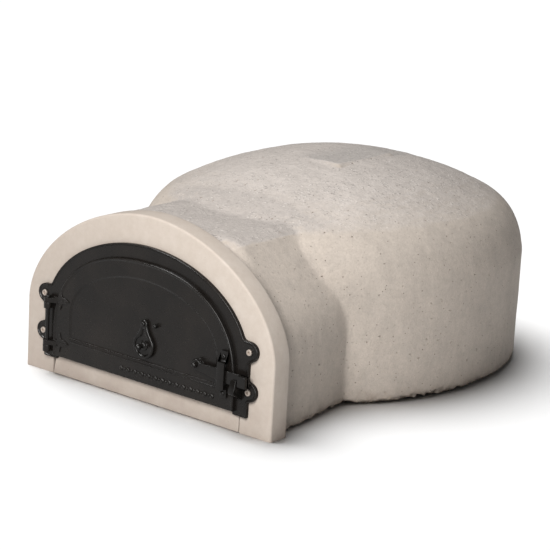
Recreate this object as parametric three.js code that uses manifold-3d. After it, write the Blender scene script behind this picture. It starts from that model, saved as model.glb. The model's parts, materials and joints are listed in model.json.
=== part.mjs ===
// Wood fired oven of the modular kind: a cast refractory dome with a neck, a cast arch cemented
// on the front of the neck, hearth slabs inside, and a cast iron door that closes the mouth.
//
// Millimetres, +Z up. The origin is on the underside of the hearth, below the middle of the dome.
// The door faces -Y. Pieces of the front are built in their own group, whose y = 0 is the face of
// the arch, so a negative y there stands proud of the arch.

import * as THREE from 'three';
import { mergeVertices } from 'three/addons/utils/BufferGeometryUtils.js';
import Module from 'manifold-3d';

const wasm = await Module();
wasm.setup();

// ---------------------------------------------------------------- driving dimensions

const GAP = 0.3; // clearance left between pieces that touch

// Dome: a superellipse in plan, an upright wall, a rounded shoulder and a shallow cap.
const DOME = {
  halfWidth: 405.7,
  halfDepth: 454.2,
  roundness: 2.1,
  wallTop: 246.4,
  shoulderRadius: 136,
  shoulderAngle: THREE.MathUtils.degToRad(62.9),
  meanRadius: 430,
  top: 449.5,
  wall: 63,
};
// The casting's worn foot: points as a setback from the wall and a height.
const CASTING_FOOT = [{ setback: 5, height: 0 }, { setback: 0, height: 8 }];

const FLOOR = 50; // thickness of the hearth, and so the height of the cooking floor
const ARCH_FACE = -619; // y of the arch's face

// Arch: straight legs, then a superellipse over the top. The mouth is the opening in it. Both
// outlines start below the ground, and the legs are cut off level with it.
const ARCH = { halfWidth: 341.4, spring: 151, top: 395, roundness: 1.85, bottom: -30 };
const ARCH_DEPTH = 51;
const ARCH_EDGE = 5; // radius of the rounded edges on the arch's face
const MOUTH = { halfWidth: 234, spring: 100, top: 288, roundness: 2.3, bottom: -30 };
const SILL_HALF = 260; // half the width of the notch that the sill lies in
const SILL_WEDGE = 9.5; // width of the sill's left joint at the top; the right joint is even
const SILL_JOINT = 2.2;
const MORTAR = 3;

// Neck: joins the arch to the dome. Its section changes from the arch's to a flat topped one.
const NECK_FRONT = ARCH_DEPTH + MORTAR + 2 * GAP;
const NECK_BACK = 322;
const NECK_FRONT_HALF = 326;
const NECK_BACK_HALF = 294;
const NECK_SHOULDER = 86; // distance behind the face where the flat top begins
const NECK_CENTRE = 150; // height of the point that both sections are drawn around
const NECK_ARCH = { top: 372, roundness: 1.9 };
const NECK_PAD = { corner: [140, 366], edge: [172, 355], slopeFoot: [290, 234] };
const THROAT = { halfWidth: 236, spring: 100, top: 290, roundness: 2.3, bottom: -10 };

// Door frame: an inverted U with two ears on each foot.
const FRAME = { halfWidth: 275, spring: 150, top: 333, roundness: 1.97, bottom: 37 };
const FRAME_OPENING = { halfWidth: 230, spring: 100, top: 283, roundness: 2.3, bottom: 30 };
const FRAME_BACK = -0.4;
const FRAME_FRONT = -6.4;
const FRAME_RIM = 3;
const FRAME_RIM_FRONT = -8.6;
const FOOT_HALF = 280;
const FOOT_INNER = 245;
const FOOT_TOP = 186;
const EAR_RADIUS = 20;
const EARS = [
  { name: 'upper', x: 283, z: 175 },
  { name: 'lower', x: 284.5, z: 92 },
];
const SCREW_RADIUS = 2.9;
const SCREW_HEAD = 6.6;

// Door leaf: a plate with a raised rim and a sunk panel.
const LEAF = { halfWidth: 251, spring: 100, top: 301, roundness: 2.3, bottom: 45 };
const LEAF_BACK = -7;
const LEAF_FRONT = -13;
const LEAF_RIM = 5;
const LEAF_RIM_FRONT = -15.4;
const PANEL = { halfWidth: 203, spring: 150, top: 263, roundness: 1.95, bottom: 92 };
const PANEL_FRONT = -10.5;
const BEAD = { half: 201, low: 83.5, high: 87 };
const VENT = { x: 9, z: 127, radius: 17 };

// Hinge: one upright pin through two knuckles of the frame and two eyes of the leaf.
const PIN = { x: -266, y: -16, radius: 4, bottom: 47, top: 171.4, headRadius: 6.5, headTop: 175 };
const PIN_BORE = 4.35;
const EYE_RADIUS = 8.8;
const EYES = [{ low: 161, high: 171, strap: 170 }, { low: 67, high: 77, strap: 77 }];
const KNUCKLE_RADIUS = 9;
const KNUCKLES = [{ low: 146.5, high: 160.4 }, { low: 51, high: 66.4 }];
const STRAP_FRONT = -15.4;

// Latch: a lever on the leaf that drops into a keeper on the frame.
const LEVER_PIVOT = { x: 157, z: 123.4, bore: 4.3, eye: 11 };
const LEVER_BACK = -17;
const LEVER_FRONT = -23;
const LEVER_END = 292;
const LEVER_TOP = 129;
const LEVER_BOTTOM = 102.7;
const TAB = { start: 272, bottom: 105, back: -14, front: -30 };
const GUIDE = { x: 226.5, half: 9.5, bottom: 69.5, top: 167.6, thickness: 5 };
const GUIDE_WINDOW = { low: 92.8, high: 141.5, front: -24 };
const GUIDE_LEG = 4.2;
const GUIDE_RIVETS = [{ name: 'upper', z: 155.5 }, { name: 'lower', z: 79 }];
const RIVET_RADIUS = 3;
const KEEPER = { left: 254, right: 268, back: FRAME_FRONT - GAP };

// Vent cover: a pear shaped plate that hangs from a rivet and covers the vent.
const COVER_PIVOT = { x: 9, z: 173.4 };
const COVER_RADIUS = 28.3;
const COVER_NECK = 8.5;
const COVER_RIM = 7;
const COVER_BACK = -11;
const COVER_FLOOR = -15;
const COVER_FRONT = -19;
const COVER_BORE = 3.4;
const REST_PIN = { x: 39, z: 174.8, radius: 4.5, front: -21 };

// ---------------------------------------------------------------- materials

function material(color, roughness, metalness) {
  return new THREE.MeshStandardMaterial({ color, roughness, metalness });
}

const domeCasting = material(0xc4bcb2, 0.95, 0);
const archCasting = material(0xd8cec4, 0.9, 0);
const mortarBed = material(0xa9a199, 1, 0);
const hearthTile = material(0xd3c6ae, 0.95, 0);
const castIron = material(0x262423, 0.5, 0.4);
const forgedIron = material(0x1f1e1d, 0.45, 0.5);
const platedSteel = material(0xcbbfb2, 0.35, 0.9);
const anchorSteel = material(0x9b9c9e, 0.4, 0.9);

// ---------------------------------------------------------------- solids

// A closed geometry as a solid that can be joined and cut.
function solidOf(geometry) {
  const bare = geometry.clone();
  bare.deleteAttribute('normal');
  bare.deleteAttribute('uv');
  const merged = mergeVertices(bare, 1e-4);
  const vertProperties = Float32Array.from(merged.attributes.position.array);
  const triVerts = Uint32Array.from(merged.index.array);
  return new wasm.Manifold(new wasm.Mesh({ numProp: 3, vertProperties, triVerts }));
}

function geometryOf(solid) {
  const mesh = solid.getMesh();
  const geometry = new THREE.BufferGeometry();
  geometry.setAttribute('position', new THREE.BufferAttribute(Float32Array.from(mesh.vertProperties), 3));
  geometry.setIndex(new THREE.BufferAttribute(Uint32Array.from(mesh.triVerts), 1));
  geometry.computeVertexNormals();
  return geometry;
}

function piece(name, solid, look) {
  const mesh = new THREE.Mesh(geometryOf(solid), look);
  mesh.name = name;
  return mesh;
}

function joined(solids) {
  return solids.reduce((whole, next) => whole.add(next));
}

function block(low, high) {
  const size = high.map((value, axis) => value - low[axis]);
  const geometry = new THREE.BoxGeometry(...size);
  geometry.translate(low[0] + size[0] / 2, low[1] + size[1] / 2, low[2] + size[2] / 2);
  return solidOf(geometry);
}

// An outline in X and Z, given thickness along Y from back (the larger y) to front.
function plate(shape, back, front, extra = {}) {
  const options = { depth: back - front, bevelEnabled: false, curveSegments: 12, ...extra };
  const geometry = new THREE.ExtrudeGeometry(shape, options);
  geometry.rotateX(Math.PI / 2);
  geometry.translate(0, back, 0);
  return solidOf(geometry);
}

// A round bar along Y, from back to front.
function bar(x, z, radius, back, front, sides = 24) {
  const geometry = new THREE.CylinderGeometry(radius, radius, back - front, sides);
  geometry.translate(x, (back + front) / 2, z);
  return solidOf(geometry);
}

// A round bar along Z.
function post(x, y, radius, low, high, sides = 24) {
  const geometry = new THREE.CylinderGeometry(radius, radius, high - low, sides);
  geometry.rotateX(Math.PI / 2);
  geometry.translate(x, y, (low + high) / 2);
  return solidOf(geometry);
}

// A turned piece on an axis along Y. The profile's points are [radius, y], back to front.
function turned(x, z, profile, sides = 24) {
  const points = profile.map(([radius, y]) => new THREE.Vector2(radius, -y));
  const geometry = new THREE.LatheGeometry(points, sides);
  geometry.rotateX(Math.PI);
  geometry.translate(x, 0, z);
  return solidOf(geometry);
}

// A dome headed profile: a shank from back to seat, then a head that bulges to front.
function headedProfile(shank, head, back, seat, front) {
  const profile = [[0, back], [shank, back], [shank, seat], [head, seat]];
  const steps = 4;
  for (let i = 1; i <= steps; i += 1) {
    const angle = (Math.PI / 2) * (i / steps);
    const radius = i === steps ? 0 : head * Math.cos(angle);
    profile.push([radius, seat + (front - seat) * Math.sin(angle)]);
  }
  return profile;
}

// ---------------------------------------------------------------- outlines

// Points of an arch from its right foot over the top to its left foot.
function archPoints(arch, inset = 0, steps = 36) {
  const halfWidth = arch.halfWidth - inset;
  const rise = arch.top - inset - arch.spring;
  const power = 2 / arch.roundness;
  const points = [new THREE.Vector2(halfWidth, arch.bottom)];
  for (let i = 0; i <= steps; i += 1) {
    const angle = (Math.PI * i) / steps;
    const across = Math.cos(angle);
    const x = halfWidth * Math.sign(across) * Math.abs(across) ** power;
    const z = arch.spring + rise * Math.abs(Math.sin(angle)) ** power;
    points.push(new THREE.Vector2(i * 2 === steps ? 0 : x, i % steps === 0 ? arch.spring : z));
  }
  points.push(new THREE.Vector2(-halfWidth, arch.bottom));
  return points;
}

function archShape(arch, inset = 0, steps = 36) {
  return new THREE.Shape(archPoints(arch, inset, steps));
}

function circleShape(x, z, radius) {
  const shape = new THREE.Shape();
  shape.absarc(x, z, radius, 0, 2 * Math.PI, false);
  return shape;
}

function boxShape(left, right, low, high) {
  const corners = [[left, low], [right, low], [right, high], [left, high]];
  return new THREE.Shape(corners.map(([x, z]) => new THREE.Vector2(x, z)));
}

// ---------------------------------------------------------------- dome and neck

// Radius and height down one side of the dome, offset inwards by inset.
function domeProfile(inset) {
  const { meanRadius, wallTop, shoulderRadius, shoulderAngle, top } = DOME;
  const shoulderX = meanRadius - shoulderRadius;
  const capRadius = shoulderRadius + shoulderX / Math.cos(shoulderAngle);
  const capCentre = wallTop - (capRadius - shoulderRadius) * Math.sin(shoulderAngle);
  const capStop = Math.asin((top - capCentre) / capRadius);
  const profile = [];
  const shoulderSteps = 6;
  for (let i = 0; i <= shoulderSteps; i += 1) {
    const angle = (shoulderAngle * i) / shoulderSteps;
    const radius = shoulderRadius - inset;
    profile.push([shoulderX + radius * Math.cos(angle), wallTop + radius * Math.sin(angle)]);
  }
  const capSteps = 5;
  for (let i = 1; i <= capSteps; i += 1) {
    const angle = shoulderAngle + ((capStop - shoulderAngle) * i) / capSteps;
    const radius = capRadius - inset;
    profile.push([radius * Math.cos(angle), capCentre + radius * Math.sin(angle)]);
  }
  const crown = profile[profile.length - 1][1];
  profile.push([0, crown]);
  return profile;
}

// The solid inside a dome surface, standing on a foot of setbacks and heights.
function domeSolid(inset, foot, sides) {
  const profile = domeProfile(inset);
  const wallRadius = profile[0][0];
  const low = foot.map(({ setback, height }) => [wallRadius - setback, height]);
  const points = [[0, foot[0].height], ...low, ...profile].map(([r, z]) => new THREE.Vector2(r, z));
  const geometry = new THREE.LatheGeometry(points, sides);
  geometry.rotateX(Math.PI / 2);
  const power = 2 / DOME.roundness;
  const place = geometry.attributes.position;
  for (let i = 0; i < place.count; i += 1) {
    const radius = Math.hypot(place.getX(i), place.getY(i)) / wallRadius;
    const angle = Math.atan2(place.getY(i), place.getX(i));
    const across = Math.cos(angle);
    const along = Math.sin(angle);
    const reachX = (DOME.halfWidth - inset) * Math.sign(across) * Math.abs(across) ** power;
    const reachY = (DOME.halfDepth - inset) * Math.sign(along) * Math.abs(along) ** power;
    place.setX(i, radius * reachX);
    place.setY(i, radius * reachY);
  }
  return solidOf(geometry);
}

// Reach of the arched section from its centre, in a direction at an angle above level.
function archedReach(half, angle) {
  const rise = NECK_ARCH.top - NECK_CENTRE;
  const { roundness } = NECK_ARCH;
  const sum = (Math.cos(angle) / half) ** roundness + (Math.sin(angle) / rise) ** roundness;
  return sum ** (-1 / roundness);
}

// Reach to a straight side of the section, through two points given as [x, z].
function sideReach([startX, startZ], [endX, endZ], angle) {
  const normal = new THREE.Vector2(startZ - endZ, endX - startX);
  const distance = normal.x * startX + normal.y * (startZ - NECK_CENTRE);
  return distance / Math.max(normal.x * Math.cos(angle) + normal.y * Math.sin(angle), 1e-6);
}

// Reach of the flat topped section: upright side, slope, bevel and pad.
function paddedReach(half, angle) {
  const upright = sideReach([half, 200], [half, 0], angle);
  const slope = sideReach(NECK_PAD.edge, NECK_PAD.slopeFoot, angle);
  const bend = 14;
  const rounded = (upright ** -bend + slope ** -bend) ** (-1 / bend);
  const bevel = sideReach(NECK_PAD.corner, NECK_PAD.edge, angle);
  const top = sideReach([0, NECK_PAD.corner[1]], NECK_PAD.corner, angle);
  return Math.min(rounded, bevel, top);
}

// The neck's whole section at a distance behind the arch's face, as [x, z].
function neckSection(distance) {
  const along = (distance - NECK_FRONT) / (NECK_BACK - NECK_FRONT);
  const half = THREE.MathUtils.lerp(NECK_FRONT_HALF, NECK_BACK_HALF, along);
  const share = THREE.MathUtils.clamp((distance - NECK_FRONT) / (NECK_SHOULDER - NECK_FRONT), 0, 1);
  const corners = [NECK_PAD.edge, NECK_PAD.corner].map(([x, z]) => Math.atan2(z - NECK_CENTRE, x));
  const angles = [0, 5, 10, 15, 20, 25, 30, 35, 40, 45].map(THREE.MathUtils.degToRad);
  angles.push(...corners, THREE.MathUtils.degToRad(72), Math.PI / 2);
  const curve = angles.map((angle) => {
    const reach = THREE.MathUtils.lerp(archedReach(half, angle), paddedReach(half, angle), share);
    return [angle === Math.PI / 2 ? 0 : reach * Math.cos(angle), NECK_CENTRE + reach * Math.sin(angle)];
  });
  const foot = CASTING_FOOT.map(({ setback, height }) => [half - setback / 2, height]);
  const right = [...foot, ...curve];
  const left = right.slice(0, -1).reverse().map(([x, z]) => [-x, z]);
  return [...right, ...left];
}

// A solid through a row of sections that all have the same number of points.
function lofted(rows) {
  const count = rows[0].points.length;
  const positions = rows.flatMap(({ y, points }) => points.flatMap(([x, z]) => [x, y, z]));
  const index = [];
  for (let row = 0; row + 1 < rows.length; row += 1) {
    for (let i = 0; i < count; i += 1) {
      const a = row * count + i;
      const b = row * count + ((i + 1) % count);
      index.push(a, a + count, b, b, a + count, b + count);
    }
  }
  const face = rows[0].points.map(([x, z]) => new THREE.Vector2(x, z));
  const back = rows[rows.length - 1].points.map(([x, z]) => new THREE.Vector2(x, z));
  const last = (rows.length - 1) * count;
  THREE.ShapeUtils.triangulateShape(face, []).forEach(([a, b, c]) => index.push(a, b, c));
  THREE.ShapeUtils.triangulateShape(back, []).forEach(([a, b, c]) => index.push(last + a, last + c, last + b));
  const geometry = new THREE.BufferGeometry();
  geometry.setAttribute('position', new THREE.Float32BufferAttribute(positions, 3));
  geometry.setIndex(index);
  return solidOf(geometry);
}

function neckSolid() {
  const distances = [NECK_FRONT, NECK_SHOULDER, 150, 230, NECK_BACK];
  return lofted(distances.map((y) => ({ y: y + ARCH_FACE, points: neckSection(y) })));
}

function domeShell() {
  const outside = domeSolid(0, CASTING_FOOT, 64).add(neckSolid());
  const cavity = domeSolid(DOME.wall, [{ setback: 0, height: -10 }], 56);
  const throat = plate(archShape(THROAT, 0, 28), ARCH_FACE + 420, ARCH_FACE + 20);
  return outside.subtract(cavity.add(throat));
}

// One slab of the hearth, between two places along y.
function hearthSlab(start, end) {
  const clearance = DOME.wall + 2;
  const wide = DOME.halfWidth;
  const round = domeSolid(clearance, [{ setback: 0, height: 0 }], 56);
  return round.intersect(block([-wide, start, 0], [wide, end, FLOOR]));
}

function ovenBody() {
  const group = new THREE.Group();
  const joint = 1.5;
  const frontEdge = ARCH_FACE + NECK_BACK + 3;
  const third = 125;
  group.add(piece('dome_shell', domeShell(), domeCasting));
  group.add(piece('hearth_front', hearthSlab(frontEdge, -third), hearthTile));
  group.add(piece('hearth_middle', hearthSlab(-third + joint, third - joint), hearthTile));
  group.add(piece('hearth_rear', hearthSlab(third, DOME.halfDepth), hearthTile));
  return group;
}

// ---------------------------------------------------------------- arch, sill and throat floor

function archRing() {
  const outline = archPoints(ARCH, 0, 44);
  const opening = archPoints(MOUTH, 0, 28).reverse();
  const edge = { bevelEnabled: true, bevelSize: ARCH_EDGE, bevelThickness: ARCH_EDGE };
  const bevel = { ...edge, bevelOffset: -ARCH_EDGE, bevelSegments: 3 };
  const ring = plate(new THREE.Shape([...outline, ...opening]), ARCH_DEPTH + 2, ARCH_EDGE, bevel);
  const behind = block([-400, ARCH_DEPTH, -60], [400, ARCH_DEPTH + 40, 500]);
  const below = block([-400, -10, -60], [400, ARCH_DEPTH + 10, 0]);
  const notch = block([-SILL_HALF - GAP, -10, -60], [SILL_HALF + GAP, ARCH_DEPTH + 10, FLOOR + GAP]);
  const holes = earPlaces().map(({ x, z }) => bar(x, z, 6.2, 42, -5, 20));
  return ring.subtract(joined([behind, below, notch, ...holes]));
}

// The sill fills the notch. Its left joint is a wedge that widens upwards.
function sill() {
  const right = SILL_HALF - SILL_JOINT;
  const corners = [[-SILL_HALF, 0], [right, 0], [right, FLOOR], [-SILL_HALF + SILL_WEDGE, FLOOR]];
  const shape = new THREE.Shape(corners.map(([x, z]) => new THREE.Vector2(x, z)));
  return plate(shape, ARCH_DEPTH, 0);
}

function mortarRing() {
  const points = neckSection(NECK_FRONT).map(([x, z]) => new THREE.Vector2(x, z));
  const front = ARCH_DEPTH + GAP;
  const ring = plate(new THREE.Shape(points), front + MORTAR, front);
  return ring.subtract(plate(archShape(THROAT, 0, 28), front + 10, front - 10));
}

function earPlaces() {
  return [-1, 1].flatMap((side) => EARS.map((ear) => ({ side, name: ear.name, x: side * ear.x, z: ear.z })));
}

// A sleeve in the arch that a frame screw threads into.
function anchor(x, z) {
  return bar(x, z, 5.7, 38, GAP, 20).subtract(bar(x, z, SCREW_RADIUS + 0.4, 45, -5, 20));
}

// A cap screw with a six sided socket in its head.
function frameScrew(x, z) {
  const seat = FRAME_FRONT - GAP;
  const front = seat - 4.6;
  const rounding = 1.2;
  const rim = [[SCREW_HEAD, front + rounding], [SCREW_HEAD - rounding, front]];
  const profile = [[0, 34], [SCREW_RADIUS, 34], [SCREW_RADIUS, seat], [SCREW_HEAD, seat], ...rim, [0, front]];
  return turned(x, z, profile, 24).subtract(bar(x, z, 3.2, front + 2.6, front - 2, 6));
}

// ---------------------------------------------------------------- door frame

// Everything that the frame covers, less an inset from its outer edge.
function frameRegion(inset, back, front) {
  const feet = boxShape(-FOOT_HALF + inset, FOOT_HALF - inset, FRAME.bottom + inset, FOOT_TOP);
  const arch = archShape({ ...FRAME, bottom: FRAME.bottom + inset }, inset, 40);
  const ears = earPlaces().map(({ x, z }) => circleShape(x, z, EAR_RADIUS - inset));
  return joined([arch, feet, ...ears].map((shape) => plate(shape, back, front)));
}

// A knuckle of the frame: a barrel around the hinge pin and the web that carries it.
function knuckle({ low, high }) {
  const web = block([PIN.x - KNUCKLE_RADIUS, PIN.y, low], [PIN.x + KNUCKLE_RADIUS, FRAME_FRONT + 1, high]);
  return web.add(post(PIN.x, PIN.y, KNUCKLE_RADIUS, low, high));
}

function doorFrame() {
  const body = frameRegion(0, FRAME_BACK, FRAME_RIM_FRONT);
  const sunk = frameRegion(FRAME_RIM, FRAME_FRONT, FRAME_RIM_FRONT - 1);
  const opening = plate(archShape(FRAME_OPENING, 0, 28), 5, -20);
  const gateway = plate(boxShape(-FOOT_INNER, FOOT_INNER, 30, FLOOR), 5, -20);
  const bores = earPlaces().map(({ x, z }) => bar(x, z, SCREW_RADIUS + 0.6, 5, -20, 20));
  const knuckles = joined(KNUCKLES.map(knuckle));
  const pinBore = post(PIN.x, PIN.y, PIN_BORE, 0, 200);
  return body.subtract(joined([sunk, opening, gateway, ...bores])).add(knuckles).subtract(pinBore);
}

// ---------------------------------------------------------------- door leaf

// A hinge strap: the eye, the arm that joins it to the leaf, and a spear shaped end on the leaf.
function hingeStrap({ low, high, strap }) {
  const eye = post(PIN.x, PIN.y, EYE_RADIUS, low, high);
  const arm = new THREE.Shape();
  arm.moveTo(PIN.x, PIN.y - EYE_RADIUS + 0.4);
  arm.lineTo(PIN.x + 28, STRAP_FRONT);
  arm.lineTo(PIN.x + 28, LEAF_FRONT + 3);
  arm.lineTo(PIN.x, PIN.y + EYE_RADIUS - 0.4);
  const armGeometry = new THREE.ExtrudeGeometry(arm, { depth: high - low, bevelEnabled: false });
  armGeometry.translate(0, 0, low);
  const spear = new THREE.Shape();
  spear.moveTo(-246, strap - 5);
  spear.lineTo(-234, strap - 5);
  spear.quadraticCurveTo(-235, strap - 14, -230, strap - 21);
  spear.quadraticCurveTo(-229, strap - 12, -223, strap - 7);
  spear.quadraticCurveTo(-212, strap - 6, -205, strap);
  spear.quadraticCurveTo(-212, strap + 6, -223, strap + 7);
  spear.quadraticCurveTo(-229, strap + 12, -230, strap + 21);
  spear.quadraticCurveTo(-235, strap + 14, -234, strap + 5);
  spear.lineTo(-246, strap + 5);
  const spearPlate = plate(spear, LEAF_FRONT + 1, STRAP_FRONT, { curveSegments: 4 });
  return joined([eye, solidOf(armGeometry), spearPlate]);
}

function doorLeaf() {
  const body = plate(archShape(LEAF, 0, 40), LEAF_BACK, LEAF_RIM_FRONT);
  const field = plate(archShape({ ...LEAF, bottom: 0 }, LEAF_RIM, 40), LEAF_FRONT, -30);
  const panel = plate(archShape(PANEL, 0, 32), PANEL_FRONT, -30);
  const bead = plate(boxShape(-BEAD.half, BEAD.half, BEAD.low, BEAD.high), LEAF_FRONT + 1, -14.6);
  const boss = bar(LEVER_PIVOT.x, LEVER_PIVOT.z, 10.5, PANEL_FRONT + 1, LEVER_BACK + GAP);
  const straps = EYES.map(hingeStrap);
  const whole = joined([body.subtract(field.add(panel)), bead, boss, ...straps]);
  const rivetPlaces = GUIDE_RIVETS.map(({ z }) => ({ x: GUIDE.x, z, radius: RIVET_RADIUS }));
  const pivotPlaces = [{ ...LEVER_PIVOT, radius: 4 }, { ...COVER_PIVOT, radius: 3 }, REST_PIN];
  const bores = [...rivetPlaces, ...pivotPlaces].map(({ x, z, radius }) => bar(x, z, radius + GAP, 0, -30));
  const vent = bar(VENT.x, VENT.z, VENT.radius, 0, -30, 28);
  return whole.subtract(joined([vent, post(PIN.x, PIN.y, PIN_BORE, 0, 200), ...bores]));
}

function hingePin() {
  const shank = post(PIN.x, PIN.y, PIN.radius, PIN.bottom, PIN.headTop - 1);
  return shank.add(post(PIN.x, PIN.y, PIN.headRadius, PIN.top, PIN.headTop));
}

// ---------------------------------------------------------------- latch

function latchLever() {
  const { x, z, bore, eye } = LEVER_PIVOT;
  const arm = new THREE.Shape();
  arm.moveTo(x, LEVER_TOP - 0.5);
  arm.lineTo(LEVER_END, LEVER_TOP);
  arm.lineTo(LEVER_END, LEVER_BOTTOM);
  arm.lineTo(235, LEVER_BOTTOM);
  arm.lineTo(x, z - eye + 1);
  const blade = plate(arm, LEVER_BACK, LEVER_FRONT);
  const round = bar(x, z, eye, LEVER_BACK, LEVER_FRONT);
  const tab = block([TAB.start, TAB.front, TAB.bottom], [LEVER_END, TAB.back, LEVER_TOP]);
  return joined([blade, round, tab]).subtract(bar(x, z, bore, 0, -40));
}

// The guide: two feet on the leaf and a bridge over the lever.
function latchGuide() {
  const { x, half, bottom, top, thickness } = GUIDE;
  const left = x - half;
  const right = x + half;
  const back = LEAF_FRONT - GAP;
  const { low, high, front } = GUIDE_WINDOW;
  const feet = block([left, back - thickness, bottom], [right, back, top]);
  const bridge = block([left, front - thickness, low - GUIDE_LEG], [right, back, high + GUIDE_LEG]);
  const window = block([left - 1, front, low], [right + 1, back + 1, high]);
  const bores = GUIDE_RIVETS.map((rivet) => bar(x, rivet.z, RIVET_RADIUS + GAP, 0, -40));
  return feet.add(bridge).subtract(joined([window, ...bores]));
}

// The keeper: a post, a notch that the lever lies in, and a nose whose front is a ramp.
function latchKeeper() {
  const side = new THREE.Shape();
  const notchFloor = LEVER_BOTTOM - GAP;
  side.moveTo(KEEPER.back, 72);
  side.lineTo(KEEPER.back, 121);
  side.lineTo(-15.6, 118);
  side.lineTo(-15.6, notchFloor);
  side.lineTo(-24.4, notchFloor);
  side.lineTo(-24.4, 116);
  side.lineTo(-27, 116);
  side.lineTo(-35, 92);
  side.lineTo(-34, 87.5);
  const options = { depth: KEEPER.right - KEEPER.left, bevelEnabled: false };
  const geometry = new THREE.ExtrudeGeometry(side, options);
  const acrossX = new THREE.Vector3(1, 0, 0);
  const turn = new THREE.Matrix4().makeBasis(new THREE.Vector3(0, 1, 0), new THREE.Vector3(0, 0, 1), acrossX);
  geometry.applyMatrix4(turn);
  geometry.translate(KEEPER.left, 0, 0);
  return solidOf(geometry);
}

function leverPivot() {
  const profile = headedProfile(4, 6.5, LEAF_BACK - GAP, LEVER_FRONT - GAP, LEVER_FRONT - 10);
  return turned(LEVER_PIVOT.x, LEVER_PIVOT.z, profile);
}

function guideRivet(z) {
  const seat = LEAF_FRONT - GUIDE.thickness - 2 * GAP;
  return turned(GUIDE.x, z, headedProfile(RIVET_RADIUS, 5, LEAF_BACK - GAP, seat, seat - 3));
}

// ---------------------------------------------------------------- vent cover

// Pear shaped outline around the vent, with its narrow end around the pivot.
function pearShape(radius, neck, top) {
  const shape = new THREE.Shape();
  const spread = THREE.MathUtils.degToRad(14);
  const bellyX = radius * Math.cos(spread);
  const bellyZ = VENT.z + radius * Math.sin(spread);
  shape.absarc(VENT.x, VENT.z, radius, Math.PI - spread, spread, false);
  shape.bezierCurveTo(VENT.x + bellyX - 5, bellyZ + 14, VENT.x + neck + 2, top - 20, VENT.x + neck, top);
  shape.absarc(VENT.x, top, neck, 0, Math.PI, false);
  shape.bezierCurveTo(VENT.x - neck - 2, top - 20, VENT.x - bellyX + 5, bellyZ + 14, VENT.x - bellyX, bellyZ);
  return shape;
}

function ventCover() {
  const outline = pearShape(COVER_RADIUS, COVER_NECK, COVER_PIVOT.z);
  const body = plate(outline, COVER_BACK, COVER_FRONT, { curveSegments: 8 });
  const dishOutline = pearShape(COVER_RADIUS - COVER_RIM, 3, COVER_PIVOT.z - 16);
  const dish = plate(dishOutline, COVER_FLOOR, COVER_FRONT - 5, { curveSegments: 8 });
  const pivotBore = bar(COVER_PIVOT.x, COVER_PIVOT.z, COVER_BORE, 0, -40);
  const knobBore = bar(VENT.x, VENT.z, 3.6 + GAP, 0, -40);
  return body.subtract(joined([dish, pivotBore, knobBore]));
}

function coverPivot() {
  const profile = headedProfile(3, 5.6, LEAF_BACK - GAP, COVER_FRONT - GAP, COVER_FRONT - 3.6);
  return turned(COVER_PIVOT.x, COVER_PIVOT.z, profile);
}

function coverRestPin() {
  const front = REST_PIN.front;
  const profile = headedProfile(REST_PIN.radius, REST_PIN.radius, LEAF_BACK - GAP, front + 3, front);
  profile.splice(2, 1);
  return turned(REST_PIN.x, REST_PIN.z, profile);
}

function coverKnob() {
  const back = COVER_BACK - GAP;
  const seat = COVER_FLOOR - GAP;
  const flange = [[11, seat], [11, seat - 2], [6.5, seat - 4]];
  const stem = [[0, back], [3.6, back], [3.6, seat], ...flange, [3.8, seat - 9]];
  const ball = [];
  const centre = seat - 16;
  const radius = 7.4;
  const start = THREE.MathUtils.degToRad(125);
  const steps = 7;
  for (let i = 0; i < steps; i += 1) {
    const angle = start * (1 - i / steps);
    ball.push([radius * Math.sin(angle), centre - radius * Math.cos(angle)]);
  }
  return turned(VENT.x, VENT.z, [...stem, ...ball, [0, centre - radius]]);
}

// ---------------------------------------------------------------- assembly

function ovenFront() {
  const group = new THREE.Group();
  const throatFloor = [[-233, ARCH_DEPTH + GAP, 0], [233, NECK_BACK + 1.5, FLOOR]];
  group.add(piece('front_arch', archRing(), archCasting));
  group.add(piece('arch_sill', sill(), archCasting));
  group.add(piece('throat_floor', block(...throatFloor), hearthTile));
  group.add(piece('arch_mortar_bed', mortarRing(), mortarBed));
  group.add(piece('door_frame', doorFrame(), castIron));
  earPlaces().forEach(({ side, name, x, z }) => {
    const place = `${name}_${side < 0 ? 'left' : 'right'}`;
    group.add(piece(`frame_screw_${place}`, frameScrew(x, z), platedSteel));
    group.add(piece(`screw_anchor_${place}`, anchor(x, z), anchorSteel));
  });
  group.add(piece('hinge_pin', hingePin(), forgedIron));
  group.add(piece('latch_keeper', latchKeeper(), forgedIron));
  return group;
}

function door() {
  const group = new THREE.Group();
  group.add(piece('door_leaf', doorLeaf(), castIron));
  group.add(piece('latch_guide', latchGuide(), forgedIron));
  GUIDE_RIVETS.forEach(({ name, z }) => {
    group.add(piece(`guide_rivet_${name}`, guideRivet(z), forgedIron));
  });
  group.add(piece('lever_pivot_rivet', leverPivot(), forgedIron));
  group.add(piece('latch_lever', latchLever(), forgedIron));
  group.add(piece('cover_pivot_rivet', coverPivot(), forgedIron));
  group.add(piece('cover_rest_pin', coverRestPin(), forgedIron));
  group.add(piece('vent_cover', ventCover(), forgedIron));
  group.add(piece('vent_cover_knob', coverKnob(), forgedIron));
  return group;
}

function oven() {
  const whole = new THREE.Group();
  const front = new THREE.Group();
  front.position.y = ARCH_FACE;
  front.add(ovenFront(), door());
  whole.add(ovenBody(), front);
  return whole;
}

export default oven();
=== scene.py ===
"""Looks for a wood fired oven: a rough cast dome, a smoother arch and a black cast iron door."""

import json
import math
import random

import bmesh
import bpy
import numpy as np
from mathutils import Matrix, Vector, kdtree, noise
from mathutils.geometry import tessellate_polygon


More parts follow.
